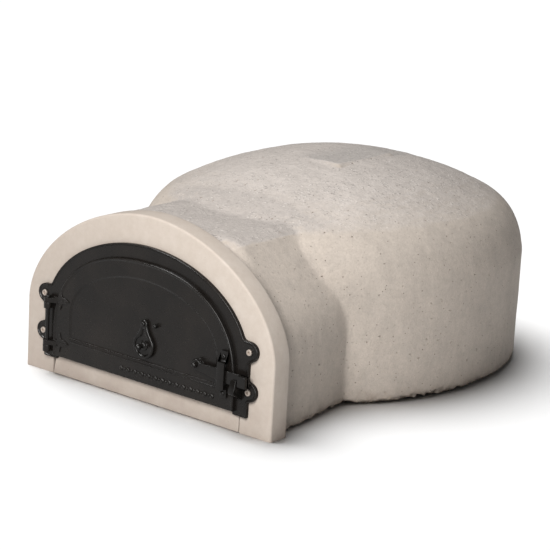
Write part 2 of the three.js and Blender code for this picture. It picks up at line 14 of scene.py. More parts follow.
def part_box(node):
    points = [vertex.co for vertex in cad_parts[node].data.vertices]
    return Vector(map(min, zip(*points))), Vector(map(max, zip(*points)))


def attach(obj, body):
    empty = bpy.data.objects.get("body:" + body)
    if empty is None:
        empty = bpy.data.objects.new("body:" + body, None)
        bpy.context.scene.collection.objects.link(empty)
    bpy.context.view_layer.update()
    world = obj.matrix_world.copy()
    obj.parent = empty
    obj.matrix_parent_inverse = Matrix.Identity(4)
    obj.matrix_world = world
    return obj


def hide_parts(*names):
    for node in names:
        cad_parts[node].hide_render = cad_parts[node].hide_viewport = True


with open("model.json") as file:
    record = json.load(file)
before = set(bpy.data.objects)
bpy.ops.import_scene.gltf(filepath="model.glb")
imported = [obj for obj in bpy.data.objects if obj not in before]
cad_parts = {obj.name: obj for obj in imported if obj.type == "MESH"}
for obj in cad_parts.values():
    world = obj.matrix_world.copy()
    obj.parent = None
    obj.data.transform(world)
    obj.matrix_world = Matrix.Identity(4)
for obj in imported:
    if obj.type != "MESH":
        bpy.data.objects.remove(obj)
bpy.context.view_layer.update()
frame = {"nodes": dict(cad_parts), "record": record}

# Lengths are millimetres until a mesh is made. Pieces of the front are drawn with y = 0 on the
# arch's face and a negative y towards the viewer; FACE is that face's y in the row frame.
MM = 0.001
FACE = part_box("front_arch")[0].y / MM


# --- building solids


class Solid:
    """The points and faces of one piece."""

    def __init__(self):
        self.points = []
        self.faces = []

    def loop(self, points):
        start = len(self.points)
        self.points += [tuple(float(value) for value in point) for point in points]
        return list(range(start, len(self.points)))

    def bridge(self, first, second, closed=True):
        count = len(first)
        for i in range(count if closed else count - 1):
            j = (i + 1) % count
            self.faces.append((first[i], first[j], second[j], second[i]))

    def skin(self, loops, closed=True):
        """Joins each loop to the next."""
        for first, second in zip(loops, loops[1:]):
            self.bridge(first, second, closed)

    def cap(self, *loops):
        """Fills a flat outline; the loops after the first are holes in it."""
        outlines = [[Vector(self.points[i]) for i in loop] for loop in loops]
        order = [i for loop in loops for i in loop]
        self.faces += [tuple(order[i] for i in corner) for corner in tessellate_polygon(outlines)]

    def cap_ends(self, loops):
        self.cap(loops[0])
        self.cap(loops[-1])

    def mesh(self, name, shift=FACE):
        mesh = bpy.data.meshes.new(name)
        moved = (np.array(self.points) + (0, shift, 0)) * MM
        mesh.from_pydata(moved.tolist(), [], self.faces)
        return mesh


def placed(name, data):
    """An object for a mesh, light or camera, in the scene."""
    made = bpy.data.objects.new(name, data)
    bpy.context.scene.collection.objects.link(made)
    return made


def clean(mesh, sharp=40):
    """Faces point out, shading is smooth, and edges past an angle in degrees stay sharp."""
    work = bmesh.new()
    work.from_mesh(mesh)
    bmesh.ops.remove_doubles(work, verts=work.verts, dist=0.00002)
    bmesh.ops.recalc_face_normals(work, faces=work.faces)
    for face in work.faces:
        face.smooth = True
    work.to_mesh(mesh)
    work.free()
    mesh.set_sharp_from_angle(angle=math.radians(sharp))


def piece(shape, node, body, sharp=40):
    """Shows a solid or a mesh in place of a CAD node, on the same body and in its slot's finish."""
    mesh = shape.mesh(node) if isinstance(shape, Solid) else shape
    clean(mesh, sharp)
    mesh.materials.append(FINISHES[SLOTS[node]])
    shown = placed(f"{node}_fine", mesh)
    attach(shown, body)
    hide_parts(node)


SLOTS = {part["node"]: part["material_slot"] for part in frame["record"]["subparts"]}


# --- outlines


def bent(value, roundness):
    """A cosine or sine bent so that a circle becomes a rounder or squarer oval."""
    return np.sign(value) * np.abs(value) ** (2 / roundness)


def arch_line(half, spring, top, roundness, foot, steps=96):
    """An arch from its right foot over the top to its left foot, as rows of x and z."""
    angles = np.linspace(0, math.pi, steps + 1)
    x = half * bent(np.cos(angles), roundness)
    z = spring + (top - spring) * np.abs(bent(np.sin(angles), roundness))
    legs = np.linspace(foot, spring, 8)[:-1]
    right = np.column_stack([np.full(len(legs), float(half)), legs])
    left = (right * (-1, 1))[::-1]
    return np.vstack([right, np.column_stack([x, z]), left])


def circle_line(x, z, radius, sides=40):
    angles = np.linspace(0, 2 * math.pi, sides, endpoint=False)
    return np.column_stack([x + radius * np.cos(angles), z + radius * np.sin(angles)])


def box_line(left, right, low, high):
    return np.array([(left, low), (right, low), (right, high), (left, high)], float)


def curve_line(start, first, second, end, steps=8):
    """Points of a Bezier curve after its start."""
    share = np.linspace(0, 1, steps + 1)[1:, None]
    rest = 1 - share
    ends = rest**3 * np.array(start) + share**3 * np.array(end)
    return ends + 3 * rest**2 * share * np.array(first) + 3 * rest * share**2 * np.array(second)


def mirrored(right):
    """An outline from its right half, which ends on the middle."""
    return np.vstack([right, (right[:-1] * (-1, 1))[::-1]])


def turned_left(line):
    """The line in the direction that has its inside on the left."""
    following = np.roll(line, -1, axis=0)
    area = (line[:, 0] * following[:, 1] - following[:, 0] * line[:, 1]).sum()
    return line if area > 0 else line[::-1]


def inset(line, distance, closed=True):
    """The line moved towards its left by a distance, which may differ from point to point."""
    along = np.roll(line, -1, axis=0) - line
    along /= np.maximum(np.linalg.norm(along, axis=1, keepdims=True), 1e-9)
    side = np.column_stack([-along[:, 1], along[:, 0]])
    before = np.roll(side, 1, axis=0)
    if not closed:
        side[-1] = side[-2]
        before[0] = side[0]
    middle = side + before
    middle /= np.maximum(np.linalg.norm(middle, axis=1, keepdims=True), 1e-9)
    stretch = 1 / np.maximum((middle * side).sum(axis=1), 0.5)
    return line + middle * (stretch * distance)[:, None]


def rounding(radius, steps=4):
    """How a rounded edge turns from a side to a face, as (inset, height under the face)."""
    angles = np.linspace(0, math.pi / 2, steps + 1)
    return [(radius * (1 - math.cos(a)), radius * (1 - math.sin(a))) for a in angles]


# --- shapes


def from_front(u, v, depth):
    return np.column_stack([u, depth + 0 * u, v])


def from_side(u, v, depth):
    return np.column_stack([depth + 0 * u, u, v])


def from_above(u, v, depth):
    return np.column_stack([u, v, depth + 0 * u])


def wall(solid, line, steps, place=from_front):
    """Loops along a closed line, one for each (inset, depth), joined to each other."""
    loops = [solid.loop(place(*inset(line, distance).T, depth)) for distance, depth in steps]
    solid.skin(loops)
    return loops


SUPPORT = 0.4  # a flat border beside each rounded edge keeps the shading of the face flat


def slab(solid, line, back, front, radius, place=from_front):
    """A plate with rounded edges on both faces."""
    line = turned_left(line)
    rise = 1 if back > front else -1
    near_back = [(i, back - rise * drop) for i, drop in rounding(radius)][::-1]
    near_front = [(i, front + rise * drop) for i, drop in rounding(radius)]
    border = radius + SUPPORT
    solid.cap_ends(wall(solid, line, [(border, back), *near_back, *near_front, (border, front)], place))


def rim_edge(front, radius):
    """The rounded edge of a face, as (inset, depth)."""
    return [(i, front + drop) for i, drop in rounding(radius)]


def rimmed_wall(solid, line, rim, back, field, rim_steps, edge):
    """The border of a plate that has a raised rim where rim is true and a plain rounded edge elsewhere."""
    edge_steps = rim_edge(field, edge)
    edge_steps += [(edge_steps[-1][0] + 0.1 * i, field) for i in range(1, 6)]
    steps = [(np.where(rim, a, c), np.where(rim, b, d)) for (a, b), (c, d) in zip(rim_steps, edge_steps)]
    return wall(solid, line, [(0, back), *steps, (steps[-1][0] + SUPPORT, field)])


def turned(solid, centre, profile, place=from_front, sides=40, closed=False):
    """A profile of (radius, place along the axis), turned about an axis through a centre."""
    angles = np.linspace(0, 2 * math.pi, sides, endpoint=False)
    loops = []
    for radius, along in profile:
        u = centre[0] + radius * np.cos(angles)
        v = centre[1] + radius * np.sin(angles)
        loops.append(solid.loop(place(u, v, along)))
    solid.skin(loops)
    if closed:
        solid.bridge(loops[-1], loops[0])
    else:
        solid.cap_ends(loops)


def domed(shank, head, back, seat, front, steps=8):
    """A profile with a shank and a domed head, back to front."""
    profile = [(shank, back), (shank, seat), (head - 0.3, seat)]
    for i in range(steps):
        angle = math.pi / 2 * i / steps
        profile.append((head * math.cos(angle), seat - 0.3 + (front - seat + 0.3) * math.sin(angle)))
    return [*profile, (0.05, front)]


def barrel(solid, centre, inner, outer, low, high, radius=0.8):
    """An upright tube with rounded rims."""
    outside = [(outer - i, low + drop) for i, drop in rounding(radius)][::-1]
    outside += [(outer - i, high - drop) for i, drop in rounding(radius)]
    profile = [(inner, low + 0.3), (inner + 0.3, low), *outside, (inner + 0.3, high), (inner, high - 0.3)]
    turned(solid, centre, profile, from_above, sides=48, closed=True)


# --- materials


class Nodes:
    """A material's node tree, with short calls for the nodes used here."""

    def __init__(self, name):
        self.material = bpy.data.materials.new(name)
        self.material.use_nodes = True
        self.tree = self.material.node_tree
        self.shader = self.tree.nodes["Principled BSDF"]
        self.place = self.tree.nodes.new("ShaderNodeTexCoord").outputs["Object"]

    def node(self, kind, values=(), **settings):
        made = self.tree.nodes.new(kind)
        for key, value in settings.items():
            setattr(made, key, value)
        for key, value in dict(values).items():
            if isinstance(value, bpy.types.NodeSocket):
                self.tree.links.new(value, made.inputs[key])
            else:
                made.inputs[key].default_value = value
        return made

    def stretched(self, scale, place=None):
        return self.node("ShaderNodeMapping", {"Vector": place or self.place, "Scale": scale}).outputs[0]

    def noise(self, scale, detail=3, rough=0.55, place=None):
        values = {"Vector": place or self.place, "Scale": scale, "Detail": detail, "Roughness": rough}
        return self.node("ShaderNodeTexNoise", values).outputs["Fac"]

    def cells(self, scale, place=None):
        values = {"Vector": place or self.place, "Scale": scale}
        return self.node("ShaderNodeTexVoronoi", values).outputs["Distance"]

    def ramp(self, value, low, high, start=0.0, end=1.0):
        values = {"Value": value, "From Min": low, "From Max": high, "To Min": start, "To Max": end}
        return self.node("ShaderNodeMapRange", values, clamp=True).outputs[0]

    def math(self, operation, first, second):
        return self.node("ShaderNodeMath", {0: first, 1: second}, operation=operation).outputs[0]

    def times(self, *factors):
        product = factors[0]
        for factor in factors[1:]:
            product = self.math("MULTIPLY", product, factor)
        return product

    def mix(self, share, first, second):
        return self.node("ShaderNodeMix", {0: share, 6: first, 7: second}, data_type="RGBA").outputs[2]

    def coats(self, base, *layers):
        """Lays (mask, amount, colour) over a base, one after another."""
        for mask, amount, colour in layers:
            base = self.mix(self.times(mask, amount), base, colour)
        return base

    def part(self, source, name):
        split = self.node("ShaderNodeSeparateXYZ", {"Vector": source})
        return split.outputs[name]

    def link(self, value, socket):
        self.tree.links.new(value, self.shader.inputs[socket])

    def bump(self, heights):
        """Chains (height, strength, distance in metres) into the shader's normal."""
        normal = None
        for height, strength, distance in heights:
            values = {"Height": height, "Strength": strength, "Distance": distance}
            if normal:
                values["Normal"] = normal
            normal = self.node("ShaderNodeBump", values).outputs[0]
        self.link(normal, "Normal")

    def set(self, values):
        for key, value in values.items():
            self.shader.inputs[key].default_value = value


def rgb(red, green, blue):
    return (red, green, blue, 1.0)


def dome_concrete():
    """Cast concrete: cloudy beige walls with air holes, and a greyer, trowelled crust on top."""
    n = Nodes("dome_concrete")
    geometry = n.node("ShaderNodeNewGeometry")
    slope = n.part(geometry.outputs["Normal"], "Z")
    across, along, height = (n.part(n.place, name) for name in "XYZ")
    level = n.math("ADD", height, n.times(along, 0.137))
    neck = n.times(n.ramp(along, -0.28, -0.31), n.ramp(level, 0.268, 0.284), n.ramp(slope, 0.80, 0.92))
    facing_up = n.math("MAXIMUM", n.ramp(slope, 0.82, 0.95), neck)
    wander = n.ramp(n.noise(30, 3), 0.3, 0.7, -0.003, 0.003)
    right_edge = n.ramp(n.math("ADD", across, wander), 0.085, 0.083)
    front_edge = n.ramp(n.math("ADD", along, wander), -0.104, -0.102)
    crown = n.times(right_edge, n.ramp(across, -0.05, 0.01), front_edge, n.ramp(slope, 0.97, 0.985))

    clouds = n.mix(n.noise(5.5, 4), rgb(0.45, 0.395, 0.345), rgb(0.515, 0.458, 0.405))
    patches = n.ramp(n.noise(19, 5, 0.65), 0.42, 0.68)
    stained = n.coats(clouds, (patches, 0.35, rgb(0.385, 0.345, 0.31)))
    grain = n.ramp(n.noise(230, 4, 0.75), 0.38, 0.62, 0.94, 1.04)
    mottle = n.ramp(n.noise(80, 4, 0.7), 0.36, 0.64, 0.95, 1.04)
    streaks = n.stretched((1.0, 1.0, 0.25))
    runs = n.ramp(n.noise(42, 4, 0.6, streaks), 0.35, 0.7, 0.96, 1.03)
    crust = n.mix(n.noise(11, 5, 0.65), rgb(0.45, 0.412, 0.385), rgb(0.615, 0.565, 0.53))
    foot = n.times(n.ramp(height, 0.035, 0.0), n.ramp(n.noise(42, 3), 0.35, 0.65))
    chips = n.times(n.ramp(height, 0.016, 0.006), n.ramp(n.noise(120, 2), 0.56, 0.62))

    # painted shade: the air holes are coloured dark for the shade inside them, as well as sunk by the bump
    holes = n.ramp(n.cells(95), 0.10, 0.17, 1.0, 0.0)
    chosen = n.ramp(n.noise(48, 2), 0.52, 0.56)
    pits_with_painted_shade = n.times(holes, chosen)
    across_trowel = n.node("ShaderNodeMapping", {"Vector": n.place, "Rotation": (0.0, 0.0, -0.66)})
    dragged = n.stretched((0.5, 1.0, 1.0), across_trowel.outputs[0])
    crumbs = n.ramp(n.cells(165, dragged), 0.32, 0.20)
    gathered = n.ramp(n.noise(34, 4, 0.65), 0.47, 0.56)
    specks = n.times(crumbs, gathered, facing_up)
    torn = n.ramp(n.noise(40, 4), 0.50, 0.58)
    # painted shade: the hollows in the trowelled crust are coloured darker for their shade, as well as sunk
    # by the bump
    hollows_with_painted_shade = n.times(n.ramp(n.cells(90, dragged), 0.22, 0.12), torn, facing_up)
    base = n.coats(
        stained, (facing_up, 0.85, crust), (neck, 0.7, rgb(0.41, 0.375, 0.35)),
        (crown, 0.8, rgb(0.435, 0.405, 0.382)), (foot, 0.7, rgb(0.30, 0.235, 0.185)),
        (chips, 1.0, rgb(0.66, 0.57, 0.47)), (pits_with_painted_shade, 0.75, rgb(0.12, 0.10, 0.085)),
        (hollows_with_painted_shade, 0.25, rgb(0.22, 0.195, 0.175)), (specks, 0.7, rgb(0.76, 0.715, 0.67)))
    tone = n.times(grain, runs, mottle)
    toned = n.node("ShaderNodeVectorMath", {0: base, 1: tone}, operation="MULTIPLY")
    n.link(toned.outputs[0], "Base Color")

    n.link(n.ramp(n.noise(60, 3), 0.3, 0.7, 0.82, 0.97), "Roughness")
    n.set({"Specular IOR Level": 0.25})
    trowel = n.times(n.noise(85, 5, 0.7, dragged), facing_up)
    n.bump([
        (n.noise(70, 6, 0.62), 0.45, 0.001),
        (n.noise(420, 3, 0.6), 0.35, 0.00035),
        (trowel, 0.7, 0.0042),
        (n.math("SUBTRACT", specks, hollows_with_painted_shade), 0.8, 0.002),
        (n.ramp(n.noise(240, 3, 0.6), 0.66, 0.60), 0.6, 0.0007),
        (pits_with_painted_shade, -0.9, 0.0024),
    ])
    return n.material


def arch_concrete():
    """The arch's finer casting: warm, smooth, with faint clouds and few holes."""
    n = Nodes("arch_concrete")
    clouds = n.mix(n.noise(7, 3), rgb(0.445, 0.388, 0.338), rgb(0.50, 0.445, 0.395))
    pale = n.ramp(n.noise(26, 4, 0.6), 0.48, 0.72)
    blotches = n.ramp(n.noise(70, 5, 0.75), 0.40, 0.62)
    # darker towards the bottom, in patches
    low_darkening = n.times(n.ramp(n.part(n.place, "Z"), 0.10, 0.0), n.ramp(n.noise(15, 4), 0.3, 0.6))
    # painted shade: the arch grows darker towards its left, where the light falls off
    left = n.ramp(n.part(n.place, "X"), 0.05, -0.36)
    # painted shade: the few holes are coloured dark for the shade inside them, as well as sunk by the bump
    holes = n.ramp(n.cells(120), 0.08, 0.13, 1.0, 0.0)
    pits_with_painted_shade = n.times(holes, n.ramp(n.noise(38, 2), 0.60, 0.66))
    base = n.coats(
        clouds, (pale, 0.3, rgb(0.54, 0.49, 0.445)), (blotches, 0.34, rgb(0.40, 0.335, 0.285)),
        (low_darkening, 0.45, rgb(0.30, 0.235, 0.20)), (left, 0.35, rgb(0.36, 0.305, 0.265)),
        (pits_with_painted_shade, 0.5, rgb(0.22, 0.19, 0.16)))
    n.link(base, "Base Color")
    n.link(n.ramp(n.noise(80, 3), 0.3, 0.7, 0.75, 0.9), "Roughness")
    n.set({"Specular IOR Level": 0.3})
    n.bump([
        (n.noise(55, 5, 0.6), 0.4, 0.001),
        (n.noise(420, 3, 0.55), 0.4, 0.0004),
        (pits_with_painted_shade, -0.8, 0.0016),
    ])
    return n.material


def mortar():
    # the joint is coloured dark, partly its own colour and partly painted shade in the gap between arch and
    # neck
    n = Nodes("mortar")
    n.link(n.mix(n.noise(70, 5, 0.7), rgb(0.10, 0.088, 0.078), rgb(0.24, 0.215, 0.19)), "Base Color")
    n.set({"Roughness": 0.95, "Specular IOR Level": 0.2})
    n.bump([(n.noise(220, 5, 0.7), 0.9, 0.002)])
    return n.material


def hearth_tile():
    """Fired refractory slabs: sand coloured, speckled and slightly porous."""
    n = Nodes("hearth_tile")
    clouds = n.mix(n.noise(9, 4), rgb(0.50, 0.39, 0.27), rgb(0.66, 0.56, 0.42))
    specks = n.ramp(n.noise(260, 2), 0.66, 0.74)
    n.link(n.coats(clouds, (specks, 0.7, rgb(0.24, 0.17, 0.11))), "Base Color")
    n.link(n.ramp(n.noise(90, 3), 0.3, 0.7, 0.8, 0.96), "Roughness")
    n.bump([(n.noise(150, 5, 0.65), 0.6, 0.0008), (specks, -0.6, 0.0008)])
    return n.material


def painted_iron(name, base, dusty, rough):
    """Sand cast iron under satin black stove paint."""
    n = Nodes(name)
    dust = n.ramp(n.noise(13, 5, 0.6), 0.40, 0.72)
    n.link(n.mix(dust, base, dusty), "Base Color")
    n.link(n.ramp(n.noise(45, 4, 0.6), 0.3, 0.7, rough - 0.04, rough + 0.05), "Roughness")
    n.set({"Specular IOR Level": 0.18})
    n.bump([
        (n.noise(900, 3, 0.6), 0.2, 0.00018),
        (n.noise(130, 4, 0.55), 0.2, 0.00035),
    ])
    return n.material


def plated_steel(name, tint, rough):
    """Zinc plating: metal with a cloudy, slightly dusty finish."""
    n = Nodes(name)
    n.link(n.mix(n.noise(300, 3), tint, tuple(0.8 * value for value in tint)), "Base Color")
    n.link(n.ramp(n.noise(700, 3), 0.3, 0.7, rough - 0.08, rough + 0.1), "Roughness")
    n.set({"Metallic": 0.75})
    n.bump([(n.noise(1500, 2), 0.4, 0.0001)])
    return n.material


FINISHES = {
    "dome_casting": dome_concrete(),
    "arch_casting": arch_concrete(),
    "mortar": mortar(),
    "hearth_tile": hearth_tile(),
    "cast_iron": painted_iron("cast_iron_paint", rgb(0.0036, 0.003, 0.0026), rgb(0.006, 0.0048, 0.004), 0.27),
    "black_fittings": painted_iron(
        "fittings_paint", rgb(0.003, 0.0026, 0.0023), rgb(0.005, 0.0042, 0.0036), 0.23),
    "screw_plating": plated_steel("screw_steel", rgb(0.50, 0.43, 0.375), 0.5),
    "anchor_steel": plated_steel("sleeve_steel", rgb(0.5, 0.5, 0.51), 0.4),
}


# --- dome, neck, arch and sill

DOME_HALF = (405.7, 454.2)
DOME_PLAN = 2.1
DOME_MEAN = 430
WALL_TOP = 246.4
SHOULDER = 136
SHOULDER_ANGLE = math.radians(62.9)
CROWN = 449.5
SHELL = 63
CROWN_PAD = (-45, 85, -104, 100)  # left, right, front and back of the flat on the crown
CREASE = 2.4  # depth of the crease where the wall turns into the shoulder
GRID = 5.6  # spacing of the points on the casting's skin
AIR_HOLES = 640

NECK_FRONT = 54.6
NECK_RAMP = 86
NECK_BACK = 322
NECK_HALF = (326, 294)
NECK_CENTRE = 150
NECK_TOP = 372
PAD_CORNER = (140, 366)
PAD_EDGE = (172, 355)
SLOPE_FOOT = (290, 234)
THROAT_LINE = arch_line(236, 100, 290, 2.3, -10)


def dome_profile(setback):
    """Radius and height up one side of the dome, to the middle of the crown."""
    shoulder_x = DOME_MEAN - SHOULDER
    cap = SHOULDER + shoulder_x / math.cos(SHOULDER_ANGLE)
    centre = WALL_TOP - (cap - SHOULDER) * math.sin(SHOULDER_ANGLE)
    stop = math.asin((CROWN - centre) / cap)
    rows = []
    for angle in np.linspace(0, SHOULDER_ANGLE, 14):
        reach = SHOULDER - setback
        rows.append((shoulder_x + reach * math.cos(angle), WALL_TOP + reach * math.sin(angle)))
    for angle in np.linspace(SHOULDER_ANGLE, stop, 16)[1:]:
        rows.append(((cap - setback) * math.cos(angle), centre + (cap - setback) * math.sin(angle)))
    return rows


def dome_body(setback, foot, sides=200):
    """The solid inside the dome's surface, on a foot given as (setback, height)."""
    profile = dome_profile(setback)
    wall_radius = profile[0][0]
    rows = [(wall_radius - back, height) for back, height in foot] + profile
    angles = np.linspace(0, 2 * math.pi, sides, endpoint=False)
    plan_x = (DOME_HALF[0] - setback) * bent(np.cos(angles), DOME_PLAN)
    plan_y = (DOME_HALF[1] - setback) * bent(np.sin(angles), DOME_PLAN)
    solid = Solid()
    loops = []
    for radius, height in rows:
        share = radius / wall_radius
        loops.append(solid.loop(from_above(share * plan_x, share * plan_y, height)))
    solid.skin(loops)
    solid.cap_ends(loops)
    return solid.mesh("dome_body", shift=0)


def side_reach(start, end, angle):
    """How far the straight side from start to end is from the neck's centre, at an angle."""
    normal = (start[1] - end[1], end[0] - start[0])
    distance = normal[0] * start[0] + normal[1] * (start[1] - NECK_CENTRE)
    return distance / max(normal[0] * math.cos(angle) + normal[1] * math.sin(angle), 1e-6)


def padded_reach(half, angle):
    """Reach of the flat topped section: upright side, slope, bevel and pad."""
    upright = side_reach((half, 200), (half, 0), angle)
    slope = side_reach(PAD_EDGE, SLOPE_FOOT, angle)
    bend = 14
    rounded = (upright**-bend + slope**-bend) ** (-1 / bend)
    bevel = side_reach(PAD_CORNER, PAD_EDGE, angle)
    top = side_reach((0, PAD_CORNER[1]), PAD_CORNER, angle)
    return min(rounded, bevel, top)


def arched_reach(half, angle, roundness=1.9):
    rise = NECK_TOP - NECK_CENTRE
    total = (math.cos(angle) / half) ** roundness + (math.sin(angle) / rise) ** roundness
    return total ** (-1 / roundness)


def neck_section(distance, shrink=0.0):
    """The neck's outline at a distance behind the arch's face, as rows of x and z."""
    along = (distance - NECK_FRONT) / (NECK_BACK - NECK_FRONT)
    half = NECK_HALF[0] + (NECK_HALF[1] - NECK_HALF[0]) * along
    share = min(max((distance - NECK_FRONT) / (NECK_RAMP - NECK_FRONT), 0), 1)
    right = [(half - 2.5, 0.0), (half, 8.0)]
    for angle in np.linspace(0, math.pi / 2, 61):
        reach = arched_reach(half, angle) * (1 - share) + padded_reach(half, angle) * share - shrink
        right.append((reach * math.cos(angle), NECK_CENTRE + reach * math.sin(angle)))
    right = np.array(right)
    right[-1, 0] = 0
    return mirrored(right)


def neck_body():
    solid = Solid()
    distances = [*np.linspace(NECK_FRONT, NECK_RAMP, 6), 150, 230, NECK_BACK]
    loops = [solid.loop(from_front(*neck_section(distance).T, distance)) for distance in distances]
    solid.skin(loops)
    solid.cap_ends(loops)
    return solid.mesh("neck_body")


def cut_plate(line, back, front):
    """A plain prism, used to cut or to add."""
    solid = Solid()
    solid.cap_ends(wall(solid, turned_left(line), [(0, back), (0, front)]))
    return solid.mesh("cut")


def loose(mesh):
    """A mesh with its faces turned out, as an object of its own."""
    work = bmesh.new()
    work.from_mesh(mesh)
    bmesh.ops.recalc_face_normals(work, faces=work.faces)
    work.to_mesh(mesh)
    work.free()
    return placed(mesh.name, mesh)


def settled(target):
    """The mesh that an object's modifiers give; the object itself is removed."""
    view = bpy.context.evaluated_depsgraph_get()
    mesh = bpy.data.meshes.new_from_object(target.evaluated_get(view))
    bpy.data.objects.remove(target)
    return mesh


def combined(mesh, operations):
    """A mesh after boolean operations, each given as (kind, other mesh)."""
    target = loose(mesh)
    tools = []
    for kind, other in operations:
        tool = loose(other)
        tools.append(tool)
        change = target.modifiers.new(kind, "BOOLEAN")
        change.operation = kind
        change.solver = "EXACT"
        change.object = tool
    result = settled(target)
    for tool in tools:
        bpy.data.objects.remove(tool)
    return result


def rough_noise(points, size, seed):
    """Smooth noise from -1 to 1 with features of about a size in millimetres."""
    offset = Vector((seed * 17.3, seed * 5.1, seed * 9.7))
    return np.array([noise.noise(Vector(point) / size + offset) for point in points])


def fade(value, low, high):
    """0 at low, 1 at high, smooth between them."""
    share = np.clip((value - low) / (high - low), 0, 1)
    return share * share * (3 - 2 * share)


def crown_flat(places):
    """Where the crown is struck off flat, from 0 to 1, and how high that flat lies."""
    left, right, front, back = CROWN_PAD
    x, y, z = places.T
    edge = 0.8 * rough_noise(places, 12, 9)
    share = fade(x, left, left + 50) * (1 - fade(x + edge, right - 2, right + 2))
    share *= fade(y + edge, front - 2, front + 2) * (1 - fade(y, back - 20, back))
    return share * (z > 400), CROWN - 0.4 - 0.016 * (right - x)


def read(vertices, kind):
    values = np.empty(len(vertices) * 3)
    vertices.foreach_get(kind, values)
    return values.reshape(-1, 3)


def weather_dome(mesh):
    """Moves the casting's outside: a wavy skin, a trowelled top and a crumbled foot."""
    places = read(mesh.vertices, "co") / MM
    normals = read(mesh.vertices, "normal")
    x, y, z = places.T  # these follow the places as they move
    middle = np.zeros_like(places)
    middle[:, 1] = np.where(y < -300, y, 0)
    middle[:, 2] = NECK_CENTRE
    outside = ((places - middle) * normals).sum(axis=1) > 0
    front = fade(y, FACE + NECK_FRONT + 1, FACE + NECK_FRONT + 16)
    upward = fade(normals[:, 2], 0.75, 0.95) * fade(z, 300, 345)

    skin = 0.9 * rough_noise(places, 95, 1) + 0.35 * rough_noise(places, 31, 2)
    over_wall = z - WALL_TOP
    crease = fade(over_wall, -4, 22) * (1 - fade(over_wall, 30, 115))
    crease *= fade(y, FACE + NECK_BACK, FACE + NECK_BACK + 60)
    dragged = places * (1.0, 0.55, 1.0)
    crust = 0.75 * rough_noise(dragged, 17, 3) + 0.7 * rough_noise(dragged, 9, 4)
    flat, flat_height = crown_flat(places)
    on_neck = 1 - fade(y, FACE + NECK_BACK - 30, FACE + NECK_BACK)
    ridge = fade(np.abs(x), 112, 136) * (1 - fade(np.abs(x), 150, 196)) * on_neck
    ridge *= fade(z, 320, 345)
    height = skin - 1.25 - CREASE * crease + crust * upward * (1 - 0.8 * flat)
    height += ridge * (1.9 * np.clip(rough_noise(dragged, 8, 10), -1, 0.6) - 0.4)
    low = 1 - fade(z, 3, 17)
    crumbs = np.clip(rough_noise(places, 13, 5) + 0.15, 0, 1) * 9
    crumbs += np.clip(rough_noise(places, 6, 6), 0, 1) * 5
    height -= low * crumbs
    places += normals * (height * front * outside)[:, None]

    plan = (np.abs(x) / 380) ** 2.1 + (np.abs(y) / 428) ** 2.1
    rim = outside * fade(plan, 0.9, 1.0) * (1 - fade(z, 0, 14))
    z += rim * (1.5 + 1.7 * rough_noise(places, 22, 7) + 2.8 * rough_noise(places, 7, 11))
    z += flat * outside * (flat_height - z)
    np.clip(z, 0.05, CROWN - 0.15, out=z)
    mesh.vertices.foreach_set("co", (places * MM).ravel())
    mesh.update()
    return outside


HOLE_SIZES = (1.5, 1.9, 2.3, 2.9, 3.7)  # radii of the air holes, in millimetres


def scattered(work, outside, count, draw):
    """Points of the casting's outside that aren't next to each other."""
    candidates = [i for i in np.flatnonzero(outside) if len(work.verts[i].link_edges) == 4]
    draw.shuffle(candidates)
    taken = set()
    chosen = []
    for index in candidates:
        vert = work.verts[index]
        near = {other.index for edge in vert.link_edges for other in edge.verts}
        if near & taken or vert.co.z < 0.012 or vert.co.y < (FACE + NECK_FRONT + 8) * MM:
            continue
        taken |= near
        chosen.append(vert)
        if len(chosen) == count:
            break
    return chosen


def add_air_holes(mesh, outside, count, seed):
    """Small bowls sunk into the casting's outside, as air bubbles leave them; some are tall."""
    draw = random.Random(seed)
    work = bmesh.new()
    work.from_mesh(mesh)
    work.verts.ensure_lookup_table()
    groups = {}
    for vert in scattered(work, outside, count, draw):
        tall = vert.normal.z < 0.6 and draw.random() < 0.4
        groups.setdefault((draw.choice(HOLE_SIZES), tall), []).append(vert)
    for (size, tall), verts in groups.items():
        radius = size * MM
        centres = kdtree.KDTree(len(verts))
        for i, vert in enumerate(verts):
            centres.insert(vert.co, i)
        centres.balance()
        bowls = bmesh.ops.bevel(work, geom=verts, offset=radius, offset_type="OFFSET", segments=2,
                                profile=0.5, affect="VERTICES")["faces"]
        moved = {point for face in bowls for point in face.verts}
        for share, depth in ((0.14, 0.6), (0.36, 0.6)):
            bmesh.ops.inset_region(work, faces=bowls, thickness=radius * share, depth=-radius * depth)
            moved |= {point for face in bowls for point in face.verts}
        for point in moved if tall else ():
            centre = centres.find(point.co)[0]
            away = point.co - centre
            point.co = centre + Vector((away.x * 0.6, away.y * 0.6, away.z * 1.25))
    work.to_mesh(mesh)
    work.free()


def dome_shell():
    cavity = dome_body(SHELL, [(0, -10)], sides=120)
    throat = cut_plate(THROAT_LINE, 420, 20)
    outer = combined(dome_body(0, [(5, 0), (0, 8)]), [("UNION", neck_body())])
    hollow = combined(outer, [("DIFFERENCE", cavity), ("DIFFERENCE", throat)])
    target = loose(hollow)
    remesh = target.modifiers.new("even", "REMESH")
    remesh.mode = "VOXEL"
    remesh.voxel_size = GRID * MM
    smooth = target.modifiers.new("soften", "SMOOTH")
    smooth.factor = 0.5
    smooth.iterations = 3
    mesh = settled(target)
    outside = weather_dome(mesh)
    add_air_holes(mesh, outside, AIR_HOLES, seed=4)
    mesh.materials.clear()
    piece(mesh, "dome_shell", "root", sharp=75)


ARCH_DEPTH = 51
ARCH_EDGE = 5
ARCH_LINE = arch_line(341.4, 151, 395, 1.85, 0, steps=150)
MOUTH_LINE = arch_line(234, 100, 288, 2.3, 0, steps=150)
SILL_HALF = 260
SILL_WEDGE = 9.5
SILL_JOINT = 2.2
FLOOR = 50


